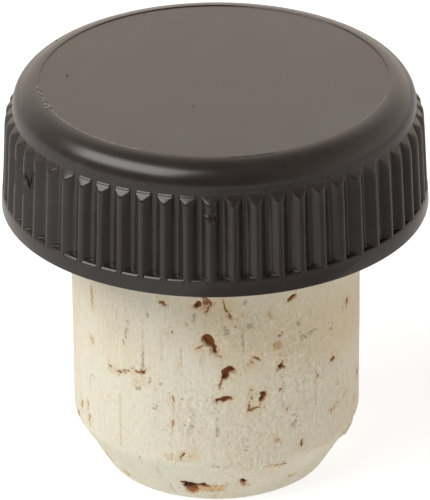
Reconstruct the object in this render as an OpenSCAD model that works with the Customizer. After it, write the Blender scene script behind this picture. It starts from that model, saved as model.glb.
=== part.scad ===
// Cork stopper for a bottle: a ribbed moulded cap glued on a natural cork shank.
// Millimetres, +Z up. The origin is the centre of the cork's flat lower end.

/* [Cork] */
// Diameter of the cork where it enters the bottle neck
cork_d = 19.8; // [17:0.1:22]
// Length of cork that shows below the cap's rim
cork_len = 19.4; // [14:0.1:28]
// Height of the tapered lead-in at the cork's lower end
lead_h = 3.7; // [1.5:0.1:6]
// How far the lead-in narrows the cork, on each side
lead_in = 2.2; // [0.8:0.1:4]
// Rounding where the lead-in meets the straight shank
lead_blend = 1.2; // [0.4:0.1:2.5]
// Rounding of the lower edge
foot_round = 0.35; // [0.1:0.05:0.6]
// How far the socket squeezes the glued end of the cork, on each side
neck_squeeze = 0.3; // [0.2:0.05:0.5]
// Chamfer on the hidden upper edge of the cork
head_chamfer = 0.4; // [0.1:0.05:1]

/* [Cork hollows] */
// Open pits in the shank: angle from the front, height, width of the mouth, depth
pits = [
    [-3.5, 13.7, 0.85, 0.5],
    [0.2, 12.9, 0.5, 0.3],
    [3.2, 11.2, 0.75, 0.5],
    [5.2, 11.5, 0.5, 0.3],
    [1.3, 9.1, 0.5, 0.25],
    [3.6, 9.1, 0.6, 0.35],
    [18.2, 9.1, 0.65, 0.4],
    [-6.5, 16.3, 0.7, 0.4],
    [26.2, 11.1, 0.55, 0.35],
    [64, 13.7, 0.65, 0.4]
];
// Chips and dents in the lead-in: angle from the front, height, width of the mouth, depth
chips = [
    [-14, 1.9, 1.1, 0.6],
    [-9.5, 1.7, 1.5, 0.7],
    [-5, 1.5, 1.3, 0.5],
    [0, 1.35, 0.9, 0.3],
    [-72, 2.1, 2.2, 0.25]
];

/* [Cap] */
// Diameter of the cap at its rim
cap_d = 29; // [26:0.1:34]
// Height of the cap
cap_h = 8.9; // [8:0.1:14]
// Draft of the moulded side
draft = 3; // [0.5:0.1:4]
// Radius of the rounded shoulder
shoulder_r = 1.75; // [0.8:0.05:2.2]
// Step down to the sunk disc in the flat top
disc_drop = 0.1; // [0.05:0.01:0.4]
// Flat land left between the sunk disc and the shoulder
disc_land = 0.05; // [0:0.05:2]
// Height of the plain collar at the rim
collar_h = 1.1; // [0.6:0.1:2]
// Rounding of the collar's lower edge
rim_round = 0.2; // [0.05:0.05:0.4]

/* [Ribs] */
// Number of grip ribs
rib_n = 58; // [36:1:64]
// Turn of the rib that is nearest the front, about the cap's axis
rib_turn = -1.3; // [-3:0.1:3]
// Height of a rib above the wall
rib_h = 0.5; // [0.3:0.05:0.6]
// Width of a rib at its foot
rib_w = 1.0; // [0.6:0.05:1.2]
// Radius of a rib's rounded tip
tip_r = 0.15; // [0.05:0.01:0.2]
// How far the tips stay inside the collar's own line
tip_shy = 0.02; // [0.01:0.01:0.1]
// Distance from the top of the cap down to the ribs
rib_start = 2; // [1.9:0.05:4]
// Slope of a rib's bevelled upper end, from the level
bevel_angle = 48; // [20:1:60]

/* [Wear] */
// Which rib is torn, counted from the one nearest the front, to the left
torn_rib = 10; // [1:1:30]
// Height of the tear's lower end above the cork's foot
tear_z = 23; // [21:0.1:24]
// Length of the tear along the rib
tear_len = 1.6; // [0.4:0.1:2]
// How much of the rib's height the tear takes
tear_depth = 0.3; // [0.1:0.05:0.4]

/* [Underside] */
// Thickness of the top plate over the cork
top_t = 1.8; // [1.2:0.1:3]
// Thickness of the skirt between the ribs
skirt_t = 1.5; // [1:0.1:1.8]
// Thickness of the socket's ring
socket_t = 1.2; // [0.8:0.1:1.6]
// Room for glue between the cork and the socket, on each side
glue_gap = 0.05; // [0.02:0.01:0.1]
// Chamfer at the socket's mouth
mouth_chamfer = 0.3; // [0.1:0.05:0.6]

/* [Hidden] */
$fn = 180;
rim_z = cork_len;
cap_top = rim_z + cap_h;
cork_r = cork_d / 2;
neck_r = cork_r - neck_squeeze;
socket_r = neck_r + glue_gap;
socket_top = cap_top - top_t;
ledge_z = rim_z + collar_h;
rib_top = cap_top - rib_start;
pitch = 360 / rib_n;
// The rib is sunk this far in the wall, so that the two join
rib_root = 0.3;
// Cutting solids pass the faces that they open by this much
over = 1;

// Radius of the line that the collar and the rib tips follow, at height z
function side_r(z) = cap_d / 2 - (z - rim_z) * tan(draft);
// Radius of the wall between the ribs, at height z
function wall_r(z) = side_r(z) - rib_h;
// Radius of the cork's outside, at height z
function cork_side(z) = z < lead_h ? cork_r - lead_in * (1 - z / lead_h) : cork_r;
// Slope of the lead-in, from the upright
lead_angle = atan(lead_in / lead_h);
// Reach of the shoulder's arc along the flat top
shoulder_run = shoulder_r / tan((90 + draft) / 2);
disc_r = wall_r(cap_top) - shoulder_run - disc_land;

// A rounded corner at p has the sides p to a and p to b. Each side's unit direction,
// half the angle between them, where a round of radius r touches them, and its centre:
function towards(p, q) = (q - p) / norm(q - p);
function half_angle(p, a, b) = acos(towards(p, a) * towards(p, b)) / 2;
function touches(p, a, b, r) = [
    p + towards(p, a) * r / tan(half_angle(p, a, b)),
    p + towards(p, b) * r / tan(half_angle(p, a, b))
];
function middle(p, a, b) = towards([0, 0], towards(p, a) + towards(p, b));
function round_centre(p, a, b, r) = p + middle(p, a, b) * r / sin(half_angle(p, a, b));

// The disc that fills a rounded corner out to its arc
module round_corner(p, a, b, r) {
    translate(round_centre(p, a, b, r))
        circle(r);
}

// Half section of the cork: shank, lead-in and the squeezed end in the socket
module cork_section() {
    foot = [cork_r - lead_in, 0];
    knee = [cork_r, lead_h];
    shank_end = [cork_r, rim_z];
    polygon([
        [0, 0],
        each touches(foot, [0, 0], knee, foot_round),
        each touches(knee, foot, shank_end, lead_blend),
        shank_end,
        [neck_r, rim_z],
        [neck_r, socket_top - head_chamfer],
        [neck_r - head_chamfer, socket_top],
        [0, socket_top]
    ]);
    round_corner(foot, [0, 0], knee, foot_round);
    round_corner(knee, foot, shank_end, lead_blend);
}

// A ball that leaves a round hollow of a given mouth and depth in the cork's side
module hollow(angle, height, mouth, depth, lean) {
    ball_r = (mouth * mouth / 4 + depth * depth) / (2 * depth);
    rotate(angle - 90)
        translate([cork_side(height), 0, height])
            rotate([0, lean, 0])
                translate([ball_r - depth, 0, 0])
                    sphere(ball_r, $fn = 32);
}

module cork() {
    color([0.87, 0.82, 0.70])
        difference() {
            rotate_extrude()
                cork_section();
            for (p = pits)
                hollow(p[0], p[1], p[2], p[3], 0);
            for (c = chips)
                hollow(c[0], c[1], c[2], c[3], lead_angle);
        }
}

// Half section of the cap's outside, without ribs
module cap_outside() {
    middle_top = [0, cap_top];
    crown = [wall_r(cap_top), cap_top];
    wall_foot = [wall_r(rim_z), rim_z];
    rim = [side_r(rim_z), rim_z];
    ledge = [side_r(ledge_z), ledge_z];
    difference() {
        union() {
            polygon([
                [0, rim_z],
                wall_foot,
                each touches(crown, wall_foot, middle_top, shoulder_r),
                middle_top
            ]);
            round_corner(crown, wall_foot, middle_top, shoulder_r);
        }
        translate([0, cap_top - disc_drop])
            square([disc_r, over]);
    }
    polygon([[0, rim_z], each touches(rim, [0, rim_z], ledge, rim_round), ledge, [0, ledge_z]]);
    round_corner(rim, [0, rim_z], ledge, rim_round);
}

// Half section of what is open underneath: the socket and the groove round it
module cap_inside() {
    ring_r = socket_r + socket_t;
    groove_top = socket_top;
    groove_lean = (groove_top - rim_z) * tan(draft);
    polygon([
        [0, rim_z - over],
        [socket_r + mouth_chamfer, rim_z - over],
        [socket_r + mouth_chamfer, rim_z],
        [socket_r, rim_z + mouth_chamfer],
        [socket_r, socket_top],
        [0, socket_top]
    ]);
    polygon([
        [ring_r, rim_z - over],
        [ring_r, rim_z],
        [ring_r + groove_lean, groove_top],
        [wall_r(groove_top) - skirt_t, groove_top],
        [wall_r(rim_z) - skirt_t, rim_z],
        [wall_r(rim_z) - skirt_t, rim_z - over]
    ]);
}

// Section across a rib: the foot at y = 0, the rounded tip outwards along +y
module rib_section() {
    reach = rib_h - tip_shy;
    tip_y = reach - tip_r;
    foot_x = rib_w / 2;
    // Lean of the flank, from the foot to where it touches the tip's round
    flank = atan2(tip_y, foot_x) + asin(tip_r / norm([foot_x, tip_y]));
    touch = [tip_r * sin(flank), tip_y + tip_r * cos(flank)];
    polygon([
        [-foot_x, -rib_root],
        [foot_x, -rib_root],
        [foot_x, 0],
        touch,
        [-touch[0], touch[1]],
        [-foot_x, 0]
    ]);
    translate([0, tip_y])
        circle(tip_r, $fn = 32);
}

// One rib at the front of the wall, from inside the collar up to its bevelled end
module rib() {
    foot_z = (rim_z + ledge_z) / 2;
    length = (rib_top - foot_z) / cos(draft) + over;
    difference() {
        translate([0, -wall_r(foot_z), foot_z])
            rotate([-draft, 0, 0])
                linear_extrude(height = length)
                    rotate(180)
                        rib_section();
        translate([0, -wall_r(rib_top), rib_top])
            rotate([bevel_angle, 0, 0])
                translate([-over, -2 * over, 0])
                    cube([2 * over, 4 * over, 3 * over]);
    }
}

// What a tear takes from the crest of a rib at the front
module tear() {
    cut_r = side_r(tear_z) - tear_depth;
    translate([-over / 2, -cut_r - over, tear_z])
        cube([over, over, tear_len]);
}

module cap() {
    color([0.17, 0.16, 0.155])
        difference() {
            union() {
                rotate_extrude()
                    cap_outside();
                for (i = [0 : rib_n - 1])
                    rotate(rib_turn + i * pitch)
                        rib();
            }
            rotate_extrude()
                cap_inside();
            rotate(rib_turn - torn_rib * pitch)
                tear();
        }
}

cap();
cork();
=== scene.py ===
# %% [markdown]
# # A cork stopper: ribbed moulded cap, natural cork shank
#
# The stopper has two pieces. A near-black plastic cap is moulded with a ribbed grip, and a
# cork shank is glued up into it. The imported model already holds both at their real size, so
# this lesson rebuilds each one over its own solid with the fine detail that the eye expects:
# rounded rib tips, the sunk disc, open pits and stains in the cork.

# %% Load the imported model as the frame
import math
import random

import bmesh
import bpy
import numpy as np
from mathutils import Matrix, Vector, noise


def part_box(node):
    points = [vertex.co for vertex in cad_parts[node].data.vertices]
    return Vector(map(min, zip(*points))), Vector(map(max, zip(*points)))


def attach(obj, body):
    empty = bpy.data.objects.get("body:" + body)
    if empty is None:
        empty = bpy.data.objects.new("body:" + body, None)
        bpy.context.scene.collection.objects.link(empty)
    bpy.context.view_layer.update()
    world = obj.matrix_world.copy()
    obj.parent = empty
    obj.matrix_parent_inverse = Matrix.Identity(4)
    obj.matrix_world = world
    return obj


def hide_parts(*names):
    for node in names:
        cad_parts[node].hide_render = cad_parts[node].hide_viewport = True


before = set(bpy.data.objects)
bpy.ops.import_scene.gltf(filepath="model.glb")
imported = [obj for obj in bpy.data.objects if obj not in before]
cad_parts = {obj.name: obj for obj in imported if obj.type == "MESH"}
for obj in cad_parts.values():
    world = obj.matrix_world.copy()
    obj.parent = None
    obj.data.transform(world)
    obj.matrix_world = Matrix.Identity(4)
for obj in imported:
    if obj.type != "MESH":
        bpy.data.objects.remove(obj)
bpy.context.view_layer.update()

print("nodes in the frame:", sorted(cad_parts))

# %% [markdown]
# ## Sizes
#
# The frame gives the heights of both pieces. The rest of a moulded cap is a handful of
# driving sizes, in millimetres. The pieces are modelled with one unit for one millimetre,
# because bevels and merges work best near that scale, and are shrunk to metres when finished.

# %% Sizes in millimetres, from the frame
MM = 0.001
# The rim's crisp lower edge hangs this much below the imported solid's.
RIM_DROP = 0.1

cap_low, cap_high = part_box("cap")
cork_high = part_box("cork")[1]
rim_z = cap_low.z / MM - RIM_DROP
top_z = cap_high.z / MM
cork_top_z = cork_high.z / MM
cork_r = cork_high.x / MM
print(f"cap from {rim_z:.2f} to {top_z:.2f} mm, cork {cork_r * 2:.2f} mm across")

# %% [markdown]
# ## Camera
#
# A small object is best seen from a little above with a long lens. A short lens close by
# would taper the cork. From 33 cm at 27.5 degrees, its two ends keep nearly the same width.

# %% The camera
VIEW_HEIGHT = math.radians(27.5)
VIEW_DISTANCE = 0.329
VIEW_ROLL = math.radians(-0.46)
AIM = Vector((-0.00004, 0.0, 0.015286))
LENS = 346.3
SENSOR = 36.0

bpy.ops.object.camera_add()
camera = bpy.context.object
camera.name = "studio_camera"
camera.data.lens = LENS
camera.data.sensor_width = SENSOR
camera.data.clip_start = 0.01
camera.data.clip_end = 10.0
towards_camera = Vector((0.0, -math.cos(VIEW_HEIGHT), math.sin(VIEW_HEIGHT)))
camera.matrix_world = (
    Matrix.Translation(AIM + towards_camera * VIEW_DISTANCE)
    @ Matrix.Rotation(math.pi / 2 - VIEW_HEIGHT, 4, "X")
    @ Matrix.Rotation(VIEW_ROLL, 4, "Z")
)
bpy.context.scene.camera = camera
print("camera stands at", [round(v, 4) for v in camera.location])

# %% [markdown]
# ## Floor and cards
#
# The stopper stands on a pale sheet that glows like a light table, so that it comes out white
# and still holds a soft shadow. A plain white floor under strong lamps would throw too much
# light up at the cork. The dark cap would mirror a white floor as well, and lose its depth, so
# two cards that only reflections see lie under and beside it.

# %% Helpers for materials and their nodes
def new_finish(name):
    """A new material, its node tree and its shader."""
    finish = bpy.data.materials.new(name)
    finish.use_nodes = True
    return finish, finish.node_tree, finish.node_tree.nodes["Principled BSDF"]


def set_values(made, values):
    """Sets a node's inputs by their names."""
    for name, value in values.items():
        made.inputs[name].default_value = value


def node(tree, kind, **settings):
    """A new node of a kind, with its own settings made."""
    made = tree.nodes.new(kind)
    for name, value in settings.items():
        setattr(made, name, value)
    return made


def maths(tree, operation, *values):
    """A Math node. Each value is a number or another node's output."""
    made = node(tree, "ShaderNodeMath", operation=operation)
    for socket, value in zip(made.inputs, values):
        if isinstance(value, (int, float)):
            socket.default_value = value
        else:
            tree.links.new(value, socket)
    return made.outputs[0]


def times(tree, a, b):
    """The product of two values."""
    return maths(tree, "MULTIPLY", a, b)


def plus(tree, a, b):
    """The sum of two values."""
    return maths(tree, "ADD", a, b)


def minus(tree, a, b):
    """The first value less the second."""
    return maths(tree, "SUBTRACT", a, b)


# %% The floor
FLOOR_SIZE = 6.0

bpy.ops.mesh.primitive_plane_add(size=FLOOR_SIZE)
floor = bpy.context.object
floor.name = "studio_floor"
floor_paint, floor_tree, floor_shader = new_finish("pale_floor")
set_values(floor_shader, {
    "Base Color": (0.50, 0.52, 0.55, 1.0),
    "Roughness": 0.9,
    "Specular IOR Level": 0.1,
    "Emission Color": (1.0, 1.0, 1.0, 1.0),
})
floor.data.materials.append(floor_paint)
print(f"the floor is {floor.dimensions.x:.1f} m wide")

# %% The floor's glow, with a little more in what the camera and reflections see of it
FLOOR_GLOW = 0.58
FLOOR_WHITE = 0.12

ray = node(floor_tree, "ShaderNodeLightPath")
seen = maths(floor_tree, "MAXIMUM", ray.outputs["Is Camera Ray"], ray.outputs["Is Glossy Ray"])
seen = maths(floor_tree, "MAXIMUM", seen, ray.outputs["Is Transmission Ray"])
glow = maths(floor_tree, "MULTIPLY_ADD", seen, FLOOR_WHITE, FLOOR_GLOW)
floor_tree.links.new(glow, floor_shader.inputs["Emission Strength"])
print(f"the floor glows at {FLOOR_GLOW} and is seen at {FLOOR_GLOW + FLOOR_WHITE:.2f}")

# %% Two cards that only reflections see
# A grey bench stands under the stopper, and on it the dark side of the studio, to the right.
CARDS = (
    ("grey_card", (0.0, 0.0, 0.0004), (0.90, 0.90), (0.80, 0.79, 0.78, 1.0)),
    ("dark_card", (0.036, -0.070, 0.0008), (0.088, 0.100), (0.30, 0.28, 0.265, 1.0)),
)

for name, place, size, colour in CARDS:
    bpy.ops.mesh.primitive_plane_add(size=1.0, location=place)
    card = bpy.context.object
    card.name = name
    card.scale = (*size, 1.0)
    bpy.ops.object.transform_apply(location=True, rotation=True, scale=True)
    card_paint, _, card_shader = new_finish(name)
    set_values(card_shader, {"Base Color": colour, "Roughness": 0.9})
    card.data.materials.append(card_paint)
    for unseen in ("camera", "diffuse", "shadow", "transmission", "volume_scatter"):
        setattr(card, "visible_" + unseen, False)
    print(f"{name} measures {size[0]:.3f} by {size[1]:.3f} m")

# %% [markdown]
# ## Room and lamps
#
# A dark glossy piece is drawn by what it mirrors. An evenly lit room would leave the cap flat,
# and a picture of a studio would be a file from outside. So the room is worked out from the
# direction that a ray takes: brightest at the back wall, bright again on the right, and darker
# overhead. One wide soft box to the left gives the cork its shape and the shoulder its
# highlight, and a low fill in front lifts the shade.

# %% The room, and the direction that each ray takes in it
world = bpy.data.worlds.new("studio_room")
bpy.context.scene.world = world
world.use_nodes = True
room = world.node_tree
room.nodes.clear()
direction = node(room, "ShaderNodeTexCoord").outputs["Generated"]
split = node(room, "ShaderNodeSeparateXYZ")
room.links.new(direction, split.inputs[0])
x, y, z = split.outputs
print(f"{world.name} has {len(room.nodes)} nodes so far")

# %% How bright the room is in each direction
ROOM_TINT = (1.0, 0.87, 0.75)
ROOM_SIDE = 0.36
ROOM_TOWARDS_BACK = 0.38
# Each wall, and the ceiling's fade, comes with a power that says how fast it falls off.
BACK_WALL, BACK_WALL_FALL = 0.90, 1.2
RIGHT_WALL, RIGHT_WALL_FALL = 0.75, 3.0
CEILING_FADE, CEILING_FALL = 0.72, 4.0

level = plus(room, times(room, y, ROOM_TOWARDS_BACK), ROOM_SIDE)
facing_back = maths(room, "POWER", maths(room, "MAXIMUM", y, 0.0), BACK_WALL_FALL)
facing_right = maths(room, "POWER", maths(room, "MAXIMUM", x, 0.0), RIGHT_WALL_FALL)
back_wall = times(room, facing_back, minus(room, 1.0, times(room, x, x)))
level = plus(room, level, times(room, back_wall, BACK_WALL))
level = plus(room, level, times(room, facing_right, RIGHT_WALL))
overhead = maths(room, "POWER", maths(room, "ABSOLUTE", z), CEILING_FALL)
fade = minus(room, 1.0, times(room, overhead, CEILING_FADE))
background = node(room, "ShaderNodeBackground")
background.inputs["Color"].default_value = (*ROOM_TINT, 1.0)
room.links.new(times(room, level, fade), background.inputs["Strength"])
room.links.new(background.outputs[0], node(room, "ShaderNodeOutputWorld").inputs["Surface"])
print(f"the room's light is worked out by {len(room.nodes)} nodes")

# %% The soft box
SOFT_BOX_AZIMUTH = math.radians(-62)
SOFT_BOX_HEIGHT = math.radians(49)
SOFT_BOX_DISTANCE = 0.5
SOFT_BOX_SIZE = (0.48, 0.28)
SOFT_BOX_TINT = (0.99, 1.0, 1.0)
SOFT_BOX_ROLL = math.radians(13)
SOFT_BOX_RADIANCE = 5.8

bpy.ops.object.light_add(type="AREA")
soft_box = bpy.context.object
soft_box.name = "soft_box"
soft_box.data.shape = "RECTANGLE"
soft_box.data.size, soft_box.data.size_y = SOFT_BOX_SIZE
soft_box.data.energy = SOFT_BOX_RADIANCE * math.pi * SOFT_BOX_SIZE[0] * SOFT_BOX_SIZE[1]
soft_box.data.color = SOFT_BOX_TINT
towards_box = Vector((
    math.sin(SOFT_BOX_AZIMUTH) * math.cos(SOFT_BOX_HEIGHT),
    -math.cos(SOFT_BOX_AZIMUTH) * math.cos(SOFT_BOX_HEIGHT),
    math.sin(SOFT_BOX_HEIGHT),
))
soft_box.location = AIM + towards_box * SOFT_BOX_DISTANCE
aimed = towards_box.to_track_quat("Z", "Y").to_matrix() @ Matrix.Rotation(SOFT_BOX_ROLL, 3, "Z")
soft_box.rotation_euler = aimed.to_euler()
print("soft box at", [round(v, 3) for v in soft_box.location])

# %% A low fill light in front, which reflections do not show
FILL_PLACE = (-0.12, -0.58, 0.10)
FILL_SIZE = 0.3
FILL_RADIANCE = 1.5

bpy.ops.object.light_add(type="AREA", location=FILL_PLACE)
front_fill = bpy.context.object
front_fill.name = "front_fill"
front_fill.data.size = FILL_SIZE
front_fill.data.energy = FILL_RADIANCE * math.pi * FILL_SIZE**2
front_fill.rotation_euler = (front_fill.location - AIM).to_track_quat("Z", "Y").to_euler()
front_fill.visible_glossy = False
print("front fill at", [round(v, 3) for v in front_fill.location])

# %% [markdown]
# ## The moulded cap
#
# The real cap is one moulding: a sunk disc in a flat top, a round shoulder, ribs, a plain
# collar at the rim, and underneath an open groove and the socket that holds the cork. It could
# be a bevelled cylinder with a cube for each rib, but the ribs would then only poke through
# the wall. Here one slice, as wide as one rib, is modelled in full and turned round the axis,
# so each rib grows out of the wall without a seam. Its section is drawn first.

# %% Sizes of the cap's outside, in millimetres
RIBS = 58
FIRST_RIB = -1.3
DRAFT = math.radians(3.0)
RIM_REACH = 14.5
WALL_INSET = 0.5
FLANK = math.radians(45)
TIP_ROUND = 0.33
VALLEY_ROUND = 0.34
VALLEY_WIDTH = 0.33
SHOULDER = 1.75
DISC_DROP = 0.06
DISC_LAND = 0.07
DISC_EDGE_ROUND = 0.01
COLLAR = 1.2
RIM_ROUND = 0.1
RIB_START = 2.0
BEVEL_SLOPE = math.radians(40)
BEVEL_ROUND = 0.22
LIP = 0.08
LIP_DEPTH = 0.13

pitch = 360.0 / RIBS
ledge_z = rim_z + COLLAR
facet_z = top_z - RIB_START
print(f"rib pitch {pitch:.3f} degrees, ledge at {ledge_z:.2f} mm, rib ends at {facet_z:.2f} mm")

# %% How far the cap reaches from its axis
def side_reach(z):
    """Reach of the line that the collar and the rib tips follow."""
    return RIM_REACH - (z - rim_z) * math.tan(DRAFT)


def wall_reach(z):
    """Reach of the wall between the ribs."""
    return side_reach(z) - WALL_INSET


shoulder_run = SHOULDER * math.tan((math.pi / 2 - DRAFT) / 2)
shoulder_centre = (wall_reach(top_z) - shoulder_run, top_z - SHOULDER)
disc_reach = shoulder_centre[0] - DISC_LAND
print(f"wall {wall_reach(ledge_z) * 2:.2f} mm across, sunk disc {disc_reach * 2:.2f} mm")

# %% The outside of the section, as points of (reach, height)
# Down the wall come two rows for the lip, four for the rib's upper end, four plain ones, and
# the corner with the ledge, given as depths behind the collar's line and heights above the
# ledge.
EDGE_GAP = 0.02
FIRST_PLAIN_ROW, PLAIN_ROW = 1.2, 1.5
DISC_ROWS = (0.0, 7.0, 11.2, disc_reach - 0.12, disc_reach - 0.04)
LEDGE_CORNER = ((WALL_INSET, 0.14), (0.46, 0.04), (0.36, 0.0), (0.094, 0.0), (0.0, -0.104))


def arc(centre, radius, start, end, steps):
    """Points on an arc of a section. Angles are in degrees from straight up, outwards."""
    angles = [math.radians(start + (end - start) * i / steps) for i in range(steps + 1)]
    return [(centre[0] + radius * math.sin(a), centre[1] + radius * math.cos(a)) for a in angles]


disc = [(reach, top_z - DISC_DROP) for reach in DISC_ROWS]
disc_edge = arc(
    (disc_reach + DISC_EDGE_ROUND, top_z - DISC_EDGE_ROUND), DISC_EDGE_ROUND, -90, 0, 3
)
shoulder = arc(shoulder_centre, SHOULDER, 0, 90 - math.degrees(DRAFT), 11)
lip_rows = [facet_z - LIP, facet_z - LIP_DEPTH]
end_rows = [lip_rows[-1] - EDGE_GAP * i for i in (1, 2, 3, 4)]
plain_rows = [facet_z - FIRST_PLAIN_ROW - PLAIN_ROW * i for i in range(4)]
wall = [(wall_reach(z), z) for z in [facet_z] + lip_rows + end_rows + plain_rows]
ledge = [(side_reach(ledge_z + h) - d, ledge_z + h) for d, h in LEDGE_CORNER]
rim_corner = arc((side_reach(rim_z) - RIM_ROUND, rim_z + RIM_ROUND), RIM_ROUND, 90, 180, 4)
outside = disc + disc_edge + shoulder + wall + ledge + rim_corner
print(f"the outside has {len(outside)} points")

# %% The underside of the section: the open groove and the socket
TOP_PLATE = 1.8
SKIRT = 1.5
SOCKET_REACH = 9.65
SOCKET_WALL = 1.2
MOUTH_CHAMFER = 0.3

socket_top_z = top_z - TOP_PLATE
ring_reach = SOCKET_REACH + SOCKET_WALL
groove_lean = (socket_top_z - rim_z) * math.tan(DRAFT)
underside = [
    (wall_reach(rim_z) - SKIRT, rim_z),
    (wall_reach(socket_top_z) - SKIRT, socket_top_z),
    (ring_reach + groove_lean, socket_top_z),
    (ring_reach, rim_z),
    (SOCKET_REACH + MOUTH_CHAMFER, rim_z),
    (SOCKET_REACH, rim_z + MOUTH_CHAMFER),
    (SOCKET_REACH, socket_top_z),
    (0.0, socket_top_z),
]
print(f"the underside has {len(underside)} points, and the socket is {SOCKET_REACH * 2} mm across")

# %% [markdown]
# A section is drawn as by hand: a plane is merged to one point, and the point is extruded along
# the line. A curve would need its own mesh made from it at the end. A place on a round piece is
# easiest to name by its turn, reach and height, so a helper turns these into x, y and z.

# %% Helpers that open and close edit mode
def pick(piece):
    """Selects one piece alone and makes it the active one."""
    bpy.ops.object.select_all(action="DESELECT")
    piece.select_set(True)
    bpy.context.view_layer.objects.active = piece


def edit(piece):
    """Picks a piece and opens it in edit mode, ready to choose points."""
    pick(piece)
    bpy.ops.object.mode_set(mode="EDIT")
    bpy.ops.mesh.select_mode(type="VERT")


def done():
    """Closes edit mode."""
    bpy.ops.object.mode_set(mode="OBJECT")


# %% Draw the section
def at(turn, reach, height):
    """The place at a turn in degrees from the front, a distance from the axis and a height."""
    angle = math.radians(turn)
    return Vector((reach * math.sin(angle), -reach * math.cos(angle), height))


def draw_section(name, points, turn):
    """A new piece: a chain of edges through a section's points, at a turn from the front."""
    places = [at(turn, reach, height) for reach, height in points]
    bpy.ops.mesh.primitive_plane_add(size=1.0)
    piece = bpy.context.object
    piece.name = name
    edit(piece)
    bpy.ops.mesh.select_all(action="SELECT")
    bpy.ops.mesh.merge(type="CENTER")
    bpy.ops.transform.translate(value=places[0])
    for before, after in zip(places, places[1:]):
        bpy.ops.mesh.extrude_region_move(TRANSFORM_OT_translate={"value": after - before})
    done()
    return piece


cap = draw_section("cap_shell", outside + underside, -pitch / 2)
print(f"{cap.name} starts as {len(cap.data.edges)} edges")

# %% [markdown]
# A spin leaves its edges and faces in an order that changes from run to run, and tools that
# bevel or divide them follow that order. So after every spin the mesh is built again from its
# own points and faces, sorted, and the stopper comes out the same each time. Sorting in edit
# mode would be shorter, but it leaves open which way round each edge runs.

# %% The same order each time
def settle_order(piece):
    """Builds a mesh again with its faces sorted, each from its lowest numbered point."""
    points = [tuple(point.co) for point in piece.data.vertices]
    faces = []
    for face in piece.data.polygons:
        corners = list(face.vertices)
        first = corners.index(min(corners))
        faces.append(corners[first:] + corners[:first])
    piece.data.clear_geometry()
    piece.data.from_pydata(points, [], sorted(faces))


# %% One slice of the cap
COLUMNS = 18


def turn_of(place):
    """Degrees round the axis from the front, to the right."""
    return math.degrees(math.atan2(place.x, -place.y))


def reach_of(place):
    """Distance from the axis."""
    return math.hypot(place.x, place.y)


edit(cap)
bpy.ops.mesh.select_all(action="SELECT")
bpy.ops.mesh.spin(
    steps=COLUMNS, angle=math.radians(pitch), center=(0, 0, 0), axis=(0, 0, -1)
)
bpy.ops.mesh.select_all(action="SELECT")
bpy.ops.mesh.remove_doubles(threshold=0.0005)
done()
settle_order(cap)
angles = sorted({round(turn_of(v.co), 3) for v in cap.data.vertices if reach_of(v.co) > 1})
print("the slice's columns stand at", angles)

# %% [markdown]
# ### One rib
#
# The slice is still a plain wall of eighteen columns. A rib could be cut out with a knife, but
# it takes less to move the columns: each goes out by its distance from the crest, so the wall
# swells into a rib with a round tip and flat flanks. At the top the rib ends under a thin lip
# in a small sloping facet. At the bottom its tip flows into the collar, and the ledge shows
# only between the tips.

# %% The rib's outline
half_pitch = wall_reach((facet_z + ledge_z) / 2) * math.radians(pitch / 2)
foot_x = half_pitch - VALLEY_WIDTH / 2
foot_rise = VALLEY_ROUND - math.sqrt(VALLEY_ROUND**2 - (VALLEY_WIDTH / 2) ** 2)
sharp_height = foot_rise + foot_x * math.tan(FLANK)
rib_height = sharp_height - TIP_ROUND * (1 / math.cos(FLANK) - 1)


def rib_rise(column):
    """How far a rib stands out at a column: a round tip, flat flanks and a hollow valley."""
    x = half_pitch * 2 * abs(column) / COLUMNS
    if x < TIP_ROUND * math.sin(FLANK):
        return rib_height - TIP_ROUND + math.sqrt(TIP_ROUND**2 - x**2)
    if x > foot_x:
        return VALLEY_ROUND - math.sqrt(VALLEY_ROUND**2 - (half_pitch - x) ** 2)
    return sharp_height - x * math.tan(FLANK)


print(f"the rib stands {rib_height:.2f} mm out of the wall and is {2 * foot_x:.2f} mm wide")
print("rises", [round(rib_rise(c), 3) for c in range(COLUMNS // 2 + 1)])

# %% The rib's two ends
# A tip flows into the collar through these shares of its depth, at heights above the ledge.
TIP_FLOW = ((1.0, 0.14), (0.85, 0.05), (0.6, -0.03), (0.3, -0.1), (0.0, -0.17))
TIP_DEPTH = 0.12
LONGEST_ROUND = 0.45
ledge_edge = LEDGE_CORNER[3][0]


def upper_end(rise):
    """Four (rise, height) points that round the corner between the facet and the rib."""
    corner = (rise, lip_rows[-1] - (rise - LIP) * math.tan(BEVEL_SLOPE))
    run = min(BEVEL_ROUND, LONGEST_ROUND * (rise - LIP) / math.cos(BEVEL_SLOPE))
    upper = (corner[0] - run * math.cos(BEVEL_SLOPE), corner[1] + run * math.sin(BEVEL_SLOPE))
    lower = (corner[0], corner[1] - run)
    return [
        tuple((1 - t) ** 2 * a + 2 * t * (1 - t) * b + t * t * c
              for a, b, c in zip(upper, corner, lower))
        for t in (0, 1 / 3, 2 / 3, 1)
    ]


def lower_end(rise):
    """(depth, height) points from the rib's foot over the ledge to the collar."""
    depth = WALL_INSET - rise
    if depth < TIP_DEPTH:
        return [(depth * share, height) for share, height in TIP_FLOW]
    room_left = (depth - ledge_edge) / (WALL_INSET - ledge_edge)
    points = [(depth - (WALL_INSET - d) * room_left, h) for d, h in LEDGE_CORNER[:3]]
    return points + list(LEDGE_CORNER[3:])


print("a crest's upper end passes", [tuple(round(v, 2) for v in p) for p in upper_end(rib_rise(0))])

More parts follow.
